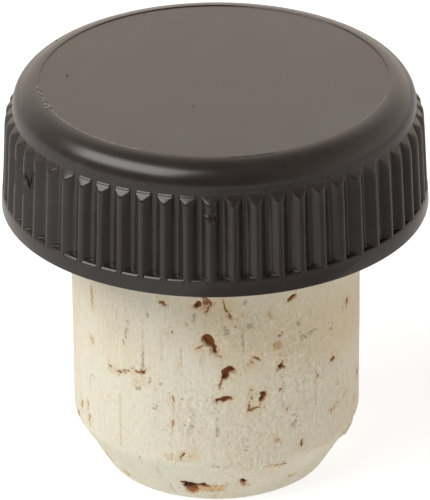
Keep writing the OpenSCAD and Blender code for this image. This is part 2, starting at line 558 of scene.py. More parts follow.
# %% Helpers that choose points by their place
def choose(where, kind="VERT"):
    """Selects the vertices or edges whose ends all pass the test where(place)."""
    bpy.ops.mesh.select_mode(type=kind)
    bpy.ops.mesh.select_all(action="DESELECT")
    shape = bmesh.from_edit_mesh(bpy.context.object.data)
    count = 0
    for item in shape.verts if kind == "VERT" else shape.edges:
        ends = [item] if kind == "VERT" else item.verts
        if all(where(end.co) for end in ends):
            item.select_set(True)
            count += 1
    shape.select_flush_mode()
    bmesh.update_edit_mesh(bpy.context.object.data)
    return count


def near(a, b, slack=0.002):
    """True where two sizes in millimetres are the same."""
    return abs(a - b) < slack


def move_point(turn, start, end):
    """Moves the slice's point at a turn from one (reach, height) to another."""
    count = choose(
        lambda p: near(turn_of(p), turn, 0.02) and near(reach_of(p), start[0])
        and near(p.z, start[1])
    )
    bpy.ops.transform.translate(value=at(turn, end[0] - start[0], end[1] - start[1]))
    return count


# %% Move the columns into the rib
moved = 0
edit(cap)
for column in range(-COLUMNS // 2, COLUMNS // 2 + 1):
    turn, rise = column * pitch / COLUMNS, rib_rise(column)
    if rise > LIP:
        for z in lip_rows:
            moved += move_point(turn, (wall_reach(z), z), (wall_reach(z) + LIP, z))
        for z, (out, height) in zip(end_rows, upper_end(rise)):
            moved += move_point(turn, (wall_reach(z), z), (wall_reach(height) + out, height))
    for z in plain_rows:
        moved += move_point(turn, (wall_reach(z), z), (wall_reach(z) + rise, z))
    for start, (depth, height) in zip(ledge, lower_end(rise)):
        height += ledge_z
        moved += move_point(turn, start, (side_reach(height) - depth, height))
done()
print(f"{moved} points moved")

# %% Soften the edges of the slice
SOFT_EDGE = 0.025

bpy.ops.object.modifier_add(type="BEVEL")
soften = cap.modifiers["Bevel"]
soften.width = SOFT_EDGE
soften.segments = 2
soften.limit_method = "ANGLE"
soften.angle_limit = math.radians(35)
soften.use_clamp_overlap = True
bpy.ops.object.modifier_apply(modifier=soften.name)
print(f"the slice has {len(cap.data.polygons)} faces")

# %% Turn the slice round the axis into the whole cap
def close_seams():
    """Merges the points that meet after a spin, and points every face outwards."""
    bpy.ops.mesh.select_all(action="SELECT")
    bpy.ops.mesh.remove_doubles(threshold=0.001)
    bpy.ops.mesh.normals_make_consistent(inside=False)


edit(cap)
bpy.ops.mesh.select_all(action="SELECT")
bpy.ops.transform.rotate(
    value=math.radians(-FIRST_RIB), orient_axis="Z", center_override=(0, 0, 0)
)
bpy.ops.mesh.spin(
    steps=RIBS - 1, angle=math.radians(pitch) * (RIBS - 1), dupli=True,
    center=(0, 0, 0), axis=(0, 0, 1),
)
close_seams()
done()
settle_order(cap)
print(f"the cap has {len(cap.data.polygons)} faces")

# %% [markdown]
# ### Wear on the cap
#
# The cap has been used: two ribs are torn, some crests are nicked, and the rib ends on the
# right are worn smooth. Sculpting would do it by hand, but not the same way twice. So marks
# are given as strokes: a depth in millimetres, then points of turn in degrees from the front,
# height, and half width. Faces near a stroke are made finer, a vertex group carries each
# point's share of the depth, and a Displace modifier moves the points along their normals.

# %% The places of a piece's points, and how close they lie to strokes
def points_of(piece):
    """The place of every vertex, as an array with one row for each."""
    flat = np.empty(len(piece.data.vertices) * 3)
    piece.data.vertices.foreach_get("co", flat)
    return flat.reshape(-1, 3)


def surface_places(piece):
    """Turn, height and reach of every vertex, as three arrays."""
    x, y, z = points_of(piece).T
    return np.degrees(np.arctan2(x, -y)), z, np.hypot(x, y)


def stroke_field(turns, heights, strokes, reach):
    """How close points lie to strokes, and how deep the strokes sink them.

    The first is 1 on a stroke's line, 0.5 at its half width and 0 at twice that. The second
    is in millimetres.
    """
    field = np.zeros(len(turns))
    sunk = np.zeros(len(turns))
    for depth, points in strokes:
        if len(points) == 1:
            points = points * 2
        for (t0, z0, w0), (t1, z1, w1) in zip(points, points[1:]):
            per_degree = math.radians(1) * reach
            across = (turns - t0 + 180) % 360 - 180
            px, pz = across * per_degree, heights - z0
            sx, sz = (t1 - t0) * per_degree, z1 - z0
            along = np.clip((px * sx + pz * sz) / max(sx * sx + sz * sz, 1e-9), 0, 1)
            away = np.hypot(px - along * sx, pz - along * sz)
            value = np.clip(1 - 0.5 * away / (w0 + (w1 - w0) * along), 0, 1)
            field = np.maximum(field, value)
            wall = np.clip((value - 0.35) / 0.4, 0, 1)
            sunk = np.maximum(sunk, depth * wall * wall * (3 - 2 * wall))
    return field, sunk


# %% Finer faces, and points pushed along their normals
def finer_faces(piece, close, cuts, spread):
    """Subdivides faces by their close corners: all are close, or with spread only one."""
    edit(piece)
    bpy.ops.mesh.select_all(action="DESELECT")
    done()
    piece.data.vertices.foreach_set("select", close)
    edit(piece)
    bpy.ops.mesh.select_mode(type="FACE", use_extend=False, use_expand=spread)
    bpy.ops.mesh.subdivide(number_cuts=cuts)
    done()
    print(f"{close.sum()} points near marks; {piece.name} has {len(piece.data.polygons)} faces")


def push_along_normals(piece, amounts, farthest):
    """Moves each point outwards by its amount, or inwards where farthest is negative."""
    group = piece.vertex_groups.new(name="amount")
    for index in np.nonzero(amounts > 0)[0]:
        group.add([int(index)], min(float(amounts[index]) / abs(farthest), 1.0), "REPLACE")
    pick(piece)
    bpy.ops.object.modifier_add(type="DISPLACE")
    pushed = piece.modifiers["Displace"]
    pushed.vertex_group = group.name
    pushed.mid_level = 0.0
    pushed.strength = farthest
    bpy.ops.object.modifier_apply(modifier=pushed.name)
    piece.vertex_groups.clear()


# %% Torn and nicked ribs, the flaps that stand up beside the tears, and finer faces there
TEARS = [
    (0.22, [(-64.9, 24.75, 0.09), (-64.3, 24.3, 0.14), (-63.2, 23.8, 0.12)]),
    (0.24, [(-63.2, 23.8, 0.12), (-64.3, 23.4, 0.12), (-63.6, 23.0, 0.1)]),
    (0.16, [(-61.2, 24.1, 0.07), (-60.6, 23.5, 0.06)]),
    (0.10, [(-69.6, 24.7, 0.14), (-69.6, 23.1, 0.14)]),
    (0.12, [(-2.3, 24.93, 0.05), (0.2, 24.9, 0.06)]),
    (0.06, [(-0.2, 25.3, 0.12), (-0.4, 25.9, 0.1)]),
    (0.08, [(-57.2, 25.1, 0.08)]),
    (0.06, [(23.5, 23.4, 0.12)]),
    (0.06, [(36.0, 22.0, 0.1)]),
    (0.07, [(117.0, 22.6, 0.14), (118.5, 23.6, 0.12)]),
    (0.08, [(196.0, 24.2, 0.16)]),
]
FLAPS = [
    (0.12, [(-62.7, 24.35, 0.08), (-62.2, 23.95, 0.11), (-61.9, 23.6, 0.1)]),
    (0.10, [(-64.9, 23.7, 0.07), (-65.2, 23.3, 0.07), (-62.8, 23.15, 0.07)]),
    (0.06, [(-3.0, 25.1, 0.05), (-1.2, 25.12, 0.06)]),
]


NEAR_WEAR = 0.05
WALL_SKIN = 1.0


def on_grip(heights, reaches):
    """True for points of the cap's outer side, below the ribs' upper ends."""
    return (reaches > wall_reach(rim_z) - WALL_SKIN) & (heights < facet_z)


for cuts in (3, 1):
    turns, heights, reaches = surface_places(cap)
    close, _ = stroke_field(turns, heights, TEARS + FLAPS, RIM_REACH)
    finer_faces(cap, (close > NEAR_WEAR) & on_grip(heights, reaches), cuts, spread=True)

# %% Sink the tears, raise the flaps and make the crests a little wavy
WAVY = 0.02
ROUGH = 0.6
CREST_FROM = 0.1

turns, heights, reaches = surface_places(cap)
_, torn = stroke_field(turns, heights, TEARS, RIM_REACH)
_, raised = stroke_field(turns, heights, FLAPS, RIM_REACH)
ribbed = on_grip(heights, reaches) & (heights > ledge_z)
crests = ribbed & (reaches > wall_reach(rim_z) + CREST_FROM)
places = points_of(cap)
rough = np.array([noise.noise(Vector(p) * 6.0) for p in places])
wave = np.array([noise.noise(Vector((p[0] * 0.5, p[1] * 0.5, p[2] * 0.25))) for p in places])
push_along_normals(cap, raised * (1 + ROUGH * rough) * ribbed, 0.3)
push_along_normals(cap, (torn * (1 + ROUGH * rough) + WAVY * (0.5 + wave) * crests) * ribbed, -0.5)
print(f"tears sink {torn.max():.2f} mm at most, and flaps rise {raised.max():.2f} mm")

# %% Rib ends worn smooth, most on the right
# Each stretch is given as its first and last turn, and the number of passes.
WORN = ((2, 30, 1), (30, 130, 5), (-130, -50, 3))
WORN_LENGTH = 1.1

edit(cap)
for first, last, passes in WORN:
    count = choose(
        lambda p: facet_z - WORN_LENGTH < p.z < facet_z - 0.001 and first < turn_of(p) < last
        and reach_of(p) > wall_reach(p.z) + LIP
    )
    bpy.ops.mesh.vertices_smooth(factor=0.5, repeat=passes)
    print(f"{count} points of rib ends worn from {first} to {last} degrees")
done()

# %% A sharp edge round the sunk disc
edit(cap)
count = choose(
    lambda p: near(p.z, top_z, 0.001) and -0.01 < reach_of(p) - disc_reach < 0.045, "EDGE"
)
bpy.ops.mesh.mark_sharp()
done()
print(f"{count} edges are sharp round the disc")

# %% [markdown]
# ### Crumbs on the cap
#
# Moulding and handling leave crumbs and thin flash on the plastic, most of all along the step
# of the sunk disc. Some are pale, partly with dust and partly with a painted highlight on their
# lit tops, and the pale flash paints the highlight line along the step. They could be painted
# on, but an edge that catches the light needs a body. Each is a closed grain, set down where
# the cap is nearest, and a value stored on its points tells the finish which ones are pale.

# %% Crumbs on the side
# Each is given as turn, reach, height, and its half sizes across and up or down.
SIDE_CRUMBS = [
    (-65.0, 14.2, 24.65, 0.09, 0.10), (-57.2, 14.3, 25.1, 0.06, 0.06),
    (-37.2, 14.1, 25.95, 0.10, 0.05), (-28.0, 14.0, 26.5, 0.09, 0.04),
    (-29.3, 14.5, 20.15, 0.05, 0.04), (-34.5, 14.5, 20.15, 0.04, 0.04),
    (20.5, 14.5, 20.1, 0.04, 0.04), (-2.1, 14.3, 25.5, 0.06, 0.07),
]
# Those in the corner of the ledge, as turn and half size across.
LEDGE_CRUMBS = (
    (-46.9, 0.05), (-41.2, 0.05), (-34.5, 0.05), (-28.9, 0.05), (-26.5, 0.04), (-22.8, 0.05),
    (-9.9, 0.05), (-3.9, 0.05), (2.7, 0.05),
)
LEDGE_REACH, LEDGE_Z = 14.2, 20.53

dark = SIDE_CRUMBS + [
    (turn, LEDGE_REACH, LEDGE_Z, across, 0.03) for turn, across in LEDGE_CRUMBS
]
print(f"{len(dark)} crumbs on the side")

# %% Crumbs on the flat top, and flash along the step of the sunk disc
# Dark and pale ones are given as turn, reach, and half sizes across and up. The pale ones are
# dust, and their pale colour also paints the highlight on their lit tops.
TOP_CRUMBS = (
    (-94.2, 9.92, 0.08, 0.07), (-18.4, 4.4, 0.05, 0.05), (99.4, 11.85, 0.06, 0.04),
    (-121.2, 12.6, 0.10, 0.05), (124.0, 11.8, 0.06, 0.03), (-81.5, 11.82, 0.12, 0.05),
    (-77.2, 11.74, 0.07, 0.05), (-73.2, 11.68, 0.08, 0.05), (-68.1, 11.78, 0.14, 0.08),
    (-64.5, 11.84, 0.08, 0.05), (-67.4, 12.05, 0.05, 0.04),
)
PALE_TOP_CRUMBS = (
    (-83.8, 11.88, 0.14, 0.09), (-83.0, 11.84, 0.09, 0.07), (-80.0, 11.87, 0.12, 0.07),
    (-78.9, 11.85, 0.13, 0.08), (-76.0, 11.82, 0.14, 0.08), (-74.6, 11.83, 0.10, 0.07),
    (-70.9, 11.86, 0.13, 0.09), (-70.0, 11.76, 0.13, 0.09), (-69.0, 11.66, 0.14, 0.08),
    (-68.8, 11.99, 0.12, 0.07), (-66.4, 11.79, 0.14, 0.07), (-65.2, 11.83, 0.10, 0.06),
)
TOP_Z = 28.2
# Thin flash stands at the step, from a first turn to a last one, and as tall as given. Its
# pale colour paints the highlight line along the step's edge.
FLASH_HIGHLIGHT = ((-62, -22, 0.03), (26, 76, 0.017))
FLASH_STEP = 4

dark += [(turn, reach, TOP_Z, across, tall) for turn, reach, across, tall in TOP_CRUMBS]
pale = [(turn, reach, TOP_Z, across, tall) for turn, reach, across, tall in PALE_TOP_CRUMBS]
dark += [(turn, disc_reach + 0.2, top_z, 0.45, 0.03) for turn in (6, 10, 14, 17)]
for first, last, tall in FLASH_HIGHLIGHT:
    turns = range(first, last, FLASH_STEP)
    pale += [(turn, disc_reach + 0.03, top_z, 0.44, tall) for turn in turns]
print(f"{len(dark)} dark crumbs and {len(pale)} pale ones")

# %% Set the crumbs down and join them to the cap
def add_crumb(turn, reach, height, across, tall, dust_and_highlight):
    """A closed grain that stands where the cap is nearest to a place."""
    _, place, _, _ = cap.closest_point_on_mesh(at(turn, reach, height))
    bpy.ops.mesh.primitive_ico_sphere_add(subdivisions=2, radius=1.0, location=place)
    crumb = bpy.context.object
    crumb.scale = (across, min(across, tall), tall)
    crumb.rotation_euler = (0, 0, math.radians(turn))
    layer = crumb.data.attributes.new("dust_and_highlight", "FLOAT", "POINT")
    layer.data.foreach_set("value", [dust_and_highlight] * len(crumb.data.vertices))
    return crumb


crumbs = [add_crumb(*sizes, 0.0) for sizes in dark] + [add_crumb(*sizes, 1.0) for sizes in pale]
pick(crumbs[0])
for crumb in crumbs:
    crumb.select_set(True)
bpy.ops.object.transform_apply(location=True, rotation=True, scale=True)
cap.select_set(True)
bpy.context.view_layer.objects.active = cap
bpy.ops.object.join()
print(f"{len(crumbs)} crumbs; the cap has {len(cap.data.polygons)} faces")

# %% Shrink the cap to metres and put it in the frame
def to_metres(piece):
    """Shrinks a finished piece from millimetres to metres and leaves it unscaled."""
    pick(piece)
    piece.scale = (MM, MM, MM)
    bpy.ops.object.transform_apply(location=True, rotation=True, scale=True)


bpy.ops.object.shade_smooth_by_angle(angle=math.radians(40))
to_metres(cap)
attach(cap, "root")
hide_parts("cap")
print("the cap measures", [round(v / MM, 2) for v in cap.dimensions], "mm")

# %% [markdown]
# ## The cork shank
#
# The shank is a punched cylinder of natural cork with a ground, tapered lead-in. A cylinder
# primitive would have faces too long to take the marks, so a section with rows 0.2 mm apart is
# turned once round the axis, in columns as far apart. It goes on above the rim as a squeezed
# end in the socket.

# %% Sizes of the cork, in millimetres
FOOT_REACH = 7.7
LEAD_HEIGHT = 3.7
FOOT_ROUND = 0.35
KNEE_ROUND = 1.2
NECK_REACH = 9.6
HEAD_CHAMFER = 0.4
ROW = 0.2
END_ROW = 0.5
CORK_COLUMNS = 312

lead_lean = math.degrees(math.atan2(cork_r - FOOT_REACH, LEAD_HEIGHT))
foot_start = FOOT_REACH - FOOT_ROUND * math.tan(math.radians(90 - lead_lean) / 2)
knee_end = LEAD_HEIGHT + KNEE_ROUND * math.tan(math.radians(lead_lean) / 2)
print(f"the lead-in leans {lead_lean:.1f} degrees, and its knee ends at {knee_end:.2f} mm")

# %% The section of the cork
def steps_between(start, end, spacing):
    """Evenly spaced points after start, up to and with end."""
    count = max(1, round(math.dist(start, end) / spacing))
    return [
        tuple(a + (b - a) * i / count for a, b in zip(start, end)) for i in range(1, count + 1)
    ]


foot_arc = arc((foot_start, FOOT_ROUND), FOOT_ROUND, 180, 90 + lead_lean, 4)
knee_arc = arc((cork_r - KNEE_ROUND, knee_end), KNEE_ROUND, 90 + lead_lean, 90, 4)
end_face = [(0.0, 0.0)] + steps_between((0.0, 0.0), (foot_start, 0.0), END_ROW)[:-1]
lead_in = foot_arc + steps_between(foot_arc[-1], knee_arc[0], ROW)[:-1] + knee_arc
shank = steps_between(knee_arc[-1], (cork_r, rim_z - 0.1), ROW)
squeezed_end = [
    (cork_r - 0.05, rim_z),
    (NECK_REACH + 0.1, rim_z + 0.12),
    (NECK_REACH, rim_z + 0.4),
    (NECK_REACH, cork_top_z - HEAD_CHAMFER),
    (NECK_REACH - HEAD_CHAMFER, cork_top_z),
    (0.0, cork_top_z),
]
cork = draw_section("cork_shank", end_face + lead_in + shank + squeezed_end, 180)
print(f"{cork.name} starts as {len(cork.data.edges)} edges")

# %% Turn the section once round the axis
edit(cork)
bpy.ops.mesh.select_all(action="SELECT")
bpy.ops.mesh.spin(
    steps=CORK_COLUMNS, angle=math.radians(360), center=(0, 0, 0), axis=(0, 0, 1)
)
close_seams()
done()
settle_order(cork)
print(f"the plain cork has {len(cork.data.polygons)} faces")

# %% [markdown]
# ## The cork's natural marks
#
# Cork has pores, cracks and stains, and this one has a chip in its lead-in as well. Noise alone
# gives marks that all look alike, so each mark that faces the camera is a short stroke with its
# own place: a list of points with the turn from the front in degrees, the height, and half the
# stroke's width in millimetres. Strokes are listed under their depth, from left to right, and
# every kind has its own colour in the finish.

# %% Strokes listed by their depth
def marks(by_depth):
    """The strokes of a table that has a list of strokes for each depth."""
    return [(depth, points) for depth, strokes in by_depth.items() for points in strokes]


# %% Open pits and cracks
PITS = marks({
    0.5: [[(-3.5, 13.66, 0.36), (-2.6, 13.5, 0.3)]],
    0.45: [[(3.3, 10.85, 0.24), (3.7, 11.2, 0.27), (5.0, 11.38, 0.22), (6.7, 11.31, 0.12)]],
    0.4: [[(17.9, 9.25, 0.16), (19.0, 9.1, 0.18), (18.0, 8.85, 0.16)]],
    0.35: [
        [(-1.8, 13.4, 0.2), (-0.6, 13.07, 0.13), (-0.5, 12.7, 0.09)], [(26.2, 11.05, 0.22)],
    ],
    0.3: [
        [(-8.4, 16.15, 0.1), (-7.3, 16.25, 0.18), (-6.6, 16.44, 0.12)],
        [(-0.6, 8.89, 0.06), (1.3, 9.03, 0.11), (3.0, 9.1, 0.17), (5.9, 9.11, 0.08)],
    ],
    0.25: [[(21.0, 15.28, 0.07), (21.7, 15.04, 0.08)]],
    0.2: [
        [(-42.3, 9.92, 0.13), (-41.4, 9.86, 0.1)], [(10.7, 2.24, 0.09), (12.3, 2.07, 0.1)],
        [(29.4, 15.95, 0.08), (30.8, 16.1, 0.09), (32.4, 16.18, 0.07)],
        [(54.0, 10.02, 0.1), (51.9, 9.95, 0.09)],
    ],
    0.18: [[(-30.7, 10.47, 0.12), (-29.7, 10.48, 0.1)]],
    0.15: [
        [(-49.7, 1.07, 0.07), (-48.5, 1.04, 0.07), (-47.5, 0.81, 0.05)], [(23.3, 5.71, 0.1)],
        [(78.6, 7.07, 0.08), (78.6, 6.78, 0.13), (77.3, 6.57, 0.08)],
    ],
    0.14: [[(-13.4, 4.75, 0.1), (-14.2, 4.56, 0.075), (-15.8, 4.16, 0.05)]],
    0.12: [
        [(20.5, 3.36, 0.05), (22.0, 3.46, 0.07)], [(30.4, 7.8, 0.08)],
    ],
})
print(f"{len(PITS)} pits and cracks are open")

# %% Brown marks, a little sunk
BROWN = marks({
    0.08: [
        [(-76.6, 4.13, 0.08), (-74.8, 3.87, 0.1)], [(5.6, 15.41, 0.08)],
        [(12.8, 8.11, 0.11), (14.4, 8.23, 0.08), (18.1, 8.26, 0.07)],
    ],
    0.06: [
        [(-22.1, 16.2, 0.07), (-20.8, 16.15, 0.13), (-20.1, 16.04, 0.08)],
        [(-5.1, 13.21, 0.05), (-8.0, 12.94, 0.06), (-9.0, 12.92, 0.05)],
        [(-4.0, 16.5, 0.2), (-2.9, 16.6, 0.12)], [(11.0, 1.42, 0.07), (13.4, 1.56, 0.07)],
        [(13.7, 9.65, 0.09)], [(13.9, 9.22, 0.05), (12.8, 8.69, 0.07), (12.8, 8.18, 0.09)],
        [(35.6, 4.92, 0.06), (35.5, 4.65, 0.09), (35.7, 4.37, 0.07)],
    ],
    0.05: [
        [(-47.2, 10.0, 0.07), (-45.5, 9.93, 0.05), (-42.8, 9.96, 0.07)],
        [(-40.9, 10.01, 0.05), (-34.8, 10.34, 0.04), (-31.4, 10.44, 0.05)],
        [(-4.1, 15.73, 0.08), (-3.1, 15.79, 0.08)], [(-3.8, 15.77, 0.09)],
        [(1.5, 12.42, 0.1), (2.4, 12.32, 0.07)],
        [(2.8, 16.68, 0.05), (3.3, 16.13, 0.07), (4.2, 15.76, 0.07), (5.3, 15.46, 0.05)],
        [(4.2, 1.85, 0.08)], [(7.9, 11.13, 0.08)],
        [(14.3, 12.09, 0.07), (15.3, 12.14, 0.1), (17.5, 11.87, 0.05)], [(52.0, 12.46, 0.06)],
        [(64.7, 13.58, 0.1), (63.6, 13.31, 0.07)],
    ],
    0.04: [
        [(-75.0, 4.26, 0.07), (-73.7, 4.04, 0.06)], [(-69.7, 5.58, 0.05), (-68.6, 5.27, 0.07)],
        [(-69.7, 5.54, 0.07), (-69.2, 5.39, 0.06)],
        [(-63.6, 5.84, 0.04), (-62.2, 4.91, 0.05), (-61.8, 4.32, 0.06)],
        [(-52.1, 0.79, 0.06), (-48.6, 0.68, 0.05)], [(-19.0, 13.92, 0.04), (-17.3, 13.92, 0.08)],
        [(-18.4, 4.37, 0.05)], [(-16.9, 6.95, 0.06)], [(-10.8, 4.63, 0.07)],
        [(-8.0, 17.01, 0.06), (-4.3, 16.88, 0.1), (-1.7, 16.26, 0.06)],
        [(-1.9, 16.57, 0.05), (-3.1, 15.86, 0.06)], [(-1.6, 0.32, 0.06)],
        [(4.6, 15.39, 0.07), (5.9, 15.3, 0.09)], [(6.9, 14.89, 0.07)], [(8.0, 15.26, 0.07)],
        [(9.5, 15.3, 0.05)], [(10.7, 2.19, 0.16), (12.4, 1.64, 0.1)],
        [(20.6, 3.44, 0.07), (22.0, 3.42, 0.05)], [(23.1, 12.72, 0.07)],
        [(24.2, 3.22, 0.05), (25.4, 3.33, 0.06)], [(24.4, 10.88, 0.07)],
        [(24.4, 3.37, 0.04), (28.8, 3.23, 0.06)], [(25.3, 13.43, 0.08), (26.7, 13.53, 0.06)],
        [(25.8, 9.34, 0.06)], [(25.9, 12.07, 0.08)], [(26.7, 11.34, 0.08)], [(27.0, 10.21, 0.07)],
        [(27.4, 11.8, 0.06)], [(27.6, 10.96, 0.08)], [(28.2, 7.63, 0.07)],
        [(35.8, 1.36, 0.04), (38.9, 1.37, 0.05)], [(43.6, 9.49, 0.05)], [(43.7, 9.36, 0.1)],
        [(50.9, 12.53, 0.06)], [(64.0, 13.85, 0.07), (63.3, 13.5, 0.08)], [(73.3, 5.16, 0.05)],
        [(79.5, 6.82, 0.08)],
    ],
    0.03: [
        [(-29.7, 10.59, 0.06), (-28.3, 10.84, 0.05)], [(-17.5, 7.15, 0.05), (-17.6, 6.7, 0.05)],
        [(2.6, 10.75, 0.07), (1.5, 10.33, 0.05), (1.2, 9.87, 0.04)],
        [(14.8, 12.04, 0.06), (13.1, 11.66, 0.05), (11.8, 11.32, 0.04)], [(25.8, 9.33, 0.09)],
        [(26.3, 3.27, 0.04), (28.9, 3.2, 0.06)], [(56.0, 8.07, 0.06)], [(59.9, 13.33, 0.06)],
        [(63.0, 6.68, 0.06)], [(72.7, 5.28, 0.06)],
    ],
    0.02: [[(-17.2, 9.05, 0.05), (-17.4, 8.7, 0.04)]],
})
print(f"{len(BROWN)} brown marks are sunk")

# %% Rusty and tan stains, which lie flat
RUST = marks({
    0.0: [
        [(-69.6, 5.12, 0.16)], [(-66.0, 2.0, 0.2), (-60.0, 1.2, 0.2)],
        [(-59.9, 11.29, 0.09), (-58.3, 11.19, 0.16), (-57.7, 11.1, 0.09)],
        [(-57.9, 15.2, 0.1), (-57.9, 14.29, 0.11), (-58.0, 13.73, 0.08)], [(-17.3, 14.0, 0.13)],
        [(-4.5, 16.23, 0.31), (-3.6, 16.51, 0.2)], [(24.0, 5.42, 0.16)],
        [(25.0, 12.94, 0.16), (24.6, 12.63, 0.26)], [(35.4, 4.6, 0.16)],
        [(54.7, 6.23, 0.05), (53.5, 6.1, 0.08), (52.0, 6.05, 0.1)],
    ],
})
TAN = marks({
    0.0: [
        [(-50.9, 7.62, 0.05), (-46.9, 7.58, 0.05), (-45.2, 7.41, 0.05), (-41.8, 7.63, 0.05)],
        [(-32.6, 9.52, 0.37), (-30.3, 9.77, 0.25)], [(-22.3, 16.29, 0.2), (-20.2, 16.12, 0.15)],
        [(-17.5, 2.1, 0.12), (-16.2, 2.0, 0.08)], [(-14.3, 12.14, 0.1), (-15.5, 11.27, 0.1)],
        [(-14.0, 9.1, 0.12)], [(-12.8, 4.59, 0.08), (-8.6, 4.42, 0.06)], [(-9.0, 4.6, 0.36)],
        [(-7.6, 7.78, 0.06)], [(-6.6, 13.0, 0.25)], [(-2.3, 16.18, 0.25)], [(5.0, 15.83, 0.2)],
        [(5.1, 8.96, 0.2)], [(6.3, 16.19, 0.5)], [(9.2, 10.88, 0.08)], [(11.5, 14.3, 0.12)],
        [(14.0, 12.0, 0.08), (13.1, 11.7, 0.06)], [(19.2, 9.07, 0.34)],
        [(21.7, 10.19, 0.06), (21.4, 9.46, 0.06)], [(26.7, 1.32, 0.06)],
        [(29.0, 16.0, 0.25), (32.5, 16.1, 0.22)], [(37.1, 4.93, 0.18)], [(44.2, 8.79, 0.1)],
        [(52.0, 3.55, 0.12), (42.5, 3.9, 0.1)], [(52.4, 10.48, 0.15), (53.1, 9.77, 0.12)],
        [(52.9, 9.96, 0.3)], [(56.2, 6.91, 0.1), (54.0, 6.1, 0.1)], [(56.9, 7.1, 0.16)],
        [(61.8, 12.16, 0.14), (61.0, 11.75, 0.12)],
        [(62.6, 12.27, 0.15), (61.5, 11.89, 0.19), (60.3, 11.62, 0.1)], [(65.8, 12.81, 0.08)],
        [(66.0, 2.8, 0.06), (72.0, 2.66, 0.13), (84.0, 2.62, 0.13)],
    ],
})
print(f"{len(RUST)} rusty and {len(TAN)} tan stains lie flat")

# %% Grey marks, and faint upright lines along the grain
GREY = marks({
    0.08: [[(32.9, 6.5, 0.11)]],
    0.06: [[(33.2, 6.86, 0.09)]],
    0.05: [
        [(33.2, 14.1, 0.09), (34.3, 13.8, 0.09)], [(36.4, 12.95, 0.1), (37.6, 12.7, 0.1)],
    ],
    0.04: [
        [(-10.0, 7.0, 0.11)], [(36.1, 1.34, 0.06), (38.3, 1.41, 0.06)],
    ],
    0.03: [
        [(-38.4, 10.12, 0.16)], [(-33.2, 9.16, 0.18), (-32.0, 9.17, 0.12)], [(-22.6, 9.9, 0.11)],
        [(-21.0, 13.94, 0.08)], [(-12.6, 8.12, 0.07)], [(-12.4, 7.05, 0.07)],
        [(-11.7, 14.77, 0.07), (-10.8, 14.42, 0.06)], [(-8.6, 15.55, 0.08), (-8.6, 15.0, 0.06)],
        [(-6.9, 10.4, 0.08)], [(3.6, 14.71, 0.08), (3.9, 14.31, 0.08), (5.0, 14.05, 0.09)],
        [(11.0, 5.07, 0.08)], [(11.2, 16.38, 0.13)], [(30.3, 6.5, 0.07)], [(31.0, 6.17, 0.08)],
        [(32.0, 7.0, 0.08)], [(35.3, 12.49, 0.06)], [(38.3, 11.53, 0.06)],
    ],
    0.02: [
        [(-62.3, 7.99, 0.07)], [(-58.2, 8.47, 0.07)], [(-58.1, 8.55, 0.05), (-62.1, 8.02, 0.04)],
        [(-53.0, 7.56, 0.03), (-48.3, 7.49, 0.04), (-45.2, 7.54, 0.03)], [(-40.1, 4.97, 0.05)],
        [(-39.3, 9.96, 0.06)], [(-36.7, 14.38, 0.03), (-37.3, 13.22, 0.03)],
        [(-36.1, 10.63, 0.06), (-34.6, 10.47, 0.05)], [(-31.7, 4.08, 0.04), (-32.2, 3.62, 0.03)],
        [(-28.5, 15.9, 0.03), (-27.7, 14.81, 0.03)], [(-27.3, 10.49, 0.05), (-26.6, 10.19, 0.04)],
        [(-27.0, 10.15, 0.08), (-27.3, 9.67, 0.07)], [(-26.4, 10.04, 0.05), (-25.6, 9.75, 0.05)],
        [(-26.2, 7.69, 0.06), (-24.8, 7.99, 0.07)],
        [(-25.1, 8.27, 0.06), (-24.1, 8.02, 0.05), (-26.2, 7.71, 0.05)],
        [(-23.3, 9.84, 0.05), (-22.1, 10.04, 0.05)],
        [(-22.3, 1.81, 0.05), (-22.7, 1.23, 0.05), (-22.1, 0.69, 0.05), (-20.5, 0.45, 0.05)],
        [(-19.7, 4.41, 0.03), (-20.2, 3.74, 0.03), (-20.0, 2.54, 0.03)], [(-17.0, 8.98, 0.04)],
        [(-14.1, 9.05, 0.05)], [(-12.6, 14.72, 0.04)], [(-11.4, 6.91, 0.05)],
        [(-10.5, 15.87, 0.04)], [(-10.1, 7.67, 0.04)], [(-10.0, 7.1, 0.07)], [(-8.0, 15.5, 0.05)],
        [(-7.3, 14.07, 0.05)], [(-2.9, 3.86, 0.03), (4.2, 3.79, 0.03)],
        [(-0.6, 7.82, 0.04), (0.6, 7.17, 0.03), (-0.3, 6.19, 0.04)],
        [(3.5, 14.57, 0.07), (4.5, 14.24, 0.06)], [(3.9, 14.01, 0.07)], [(5.3, 13.76, 0.05)],
        [(7.4, 15.01, 0.05)], [(9.9, 14.31, 0.05), (10.5, 13.56, 0.05), (10.1, 12.55, 0.05)],
        [(13.1, 14.52, 0.23)], [(13.5, 9.67, 0.06)], [(20.9, 15.32, 0.09), (21.6, 15.06, 0.07)],
        [(28.5, 11.08, 0.05)], [(28.5, 7.59, 0.05)], [(29.2, 7.8, 0.05)], [(30.7, 7.84, 0.04)],
        [(30.9, 6.98, 0.07), (32.4, 6.93, 0.06)], [(30.9, 6.49, 0.06), (31.9, 6.02, 0.07)],
        [(33.4, 6.68, 0.05)], [(33.9, 13.71, 0.04)], [(34.4, 13.2, 0.06), (35.9, 12.55, 0.08)],
        [(35.4, 13.46, 0.05)], [(36.9, 12.73, 0.05), (40.7, 12.83, 0.05)],
        [(38.2, 12.97, 0.05), (42.5, 13.03, 0.05)], [(39.0, 11.88, 0.04)], [(45.4, 4.93, 0.05)],
    ],
    0.01: [
        [(-36.4, 14.33, 0.05), (-38.0, 13.04, 0.05), (-39.7, 12.11, 0.07)],
        [(-29.5, 12.64, 0.05), (-30.0, 11.6, 0.05), (-30.2, 10.57, 0.05)],
    ],
})
